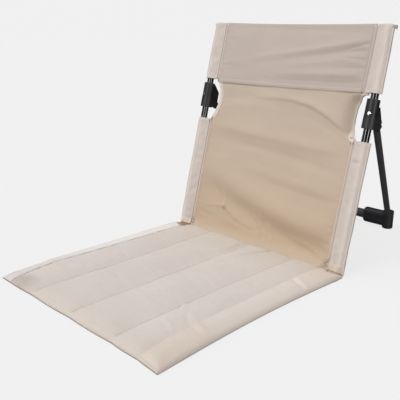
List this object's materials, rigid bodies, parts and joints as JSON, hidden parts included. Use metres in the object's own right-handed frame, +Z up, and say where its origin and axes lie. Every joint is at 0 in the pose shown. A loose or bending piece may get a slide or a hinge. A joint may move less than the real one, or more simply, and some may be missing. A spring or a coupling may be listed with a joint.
{
  "type": "folding beach chair",
  "caption": "Low folding ground chair: sling back on black tubes, hinged rear stand with a cross tube, and a quilted cloth seat that lies on the ground.",
  "frame": {"origin": "centre of the footprint, on the ground", "axes": "+X to the right of someone looking from the front edge of the seat to the back rest, +Y to the rear, +Z up"},
  "size_m": [0.4, 0.7308, 0.4172],
  "materials": {
    "black_steel": "gloss black enamel on steel tube",
    "black_plastic": "moulded black nylon, satin",
    "rivet_steel": "bright plated rivet",
    "back_cloth": "plain woven polyester, warm beige",
    "head_cloth": "plain woven polyester, doubled at the head",
    "sleeve_cloth": "plain woven polyester, pale beige",
    "seat_cloth": "quilted woven polyester, pale beige",
    "foam": "soft polyurethane foam"
  },
  "bodies": {
    "back": {"left_upright": "black_steel", "right_upright": "black_steel", "upright_top_plugs": "black_plastic", "upright_foot_plugs": "black_plastic", "left_connector": "black_plastic", "right_connector": "black_plastic", "connector_rivets": "rivet_steel", "pivot_pins": "black_steel", "back_panel": "back_cloth", "head_band": "head_cloth", "left_upper_sleeve": "sleeve_cloth", "right_upper_sleeve": "sleeve_cloth", "left_lower_sleeve": "sleeve_cloth", "right_lower_sleeve": "sleeve_cloth", "left_cutout_binding": "sleeve_cloth", "right_cutout_binding": "sleeve_cloth"},
    "rear_stand": {"left_strut": "black_steel", "right_strut": "black_steel", "left_strut_eye": "black_plastic", "right_strut_eye": "black_plastic", "left_elbow": "black_plastic", "right_elbow": "black_plastic", "cross_tube": "black_steel", "elbow_rivets": "rivet_steel"},
    "seat": {"seat_cover": "seat_cloth", "seat_foam": "foam", "seat_base": "seat_cloth"}
  },
  "joints": [
    {"name": "stand_fold", "type": "hinge", "parent": "back", "child": "rear_stand", "pos_m": [0, 0.13557, 0.25629], "axis": [1, 0, 0], "range_deg": [-54, 0]},
    {"name": "seat_fold", "type": "hinge", "parent": "back", "child": "seat", "pos_m": [0, 0.03957, 0.013], "axis": [-1, 0, 0], "range_deg": [0, 100]}
  ]
}
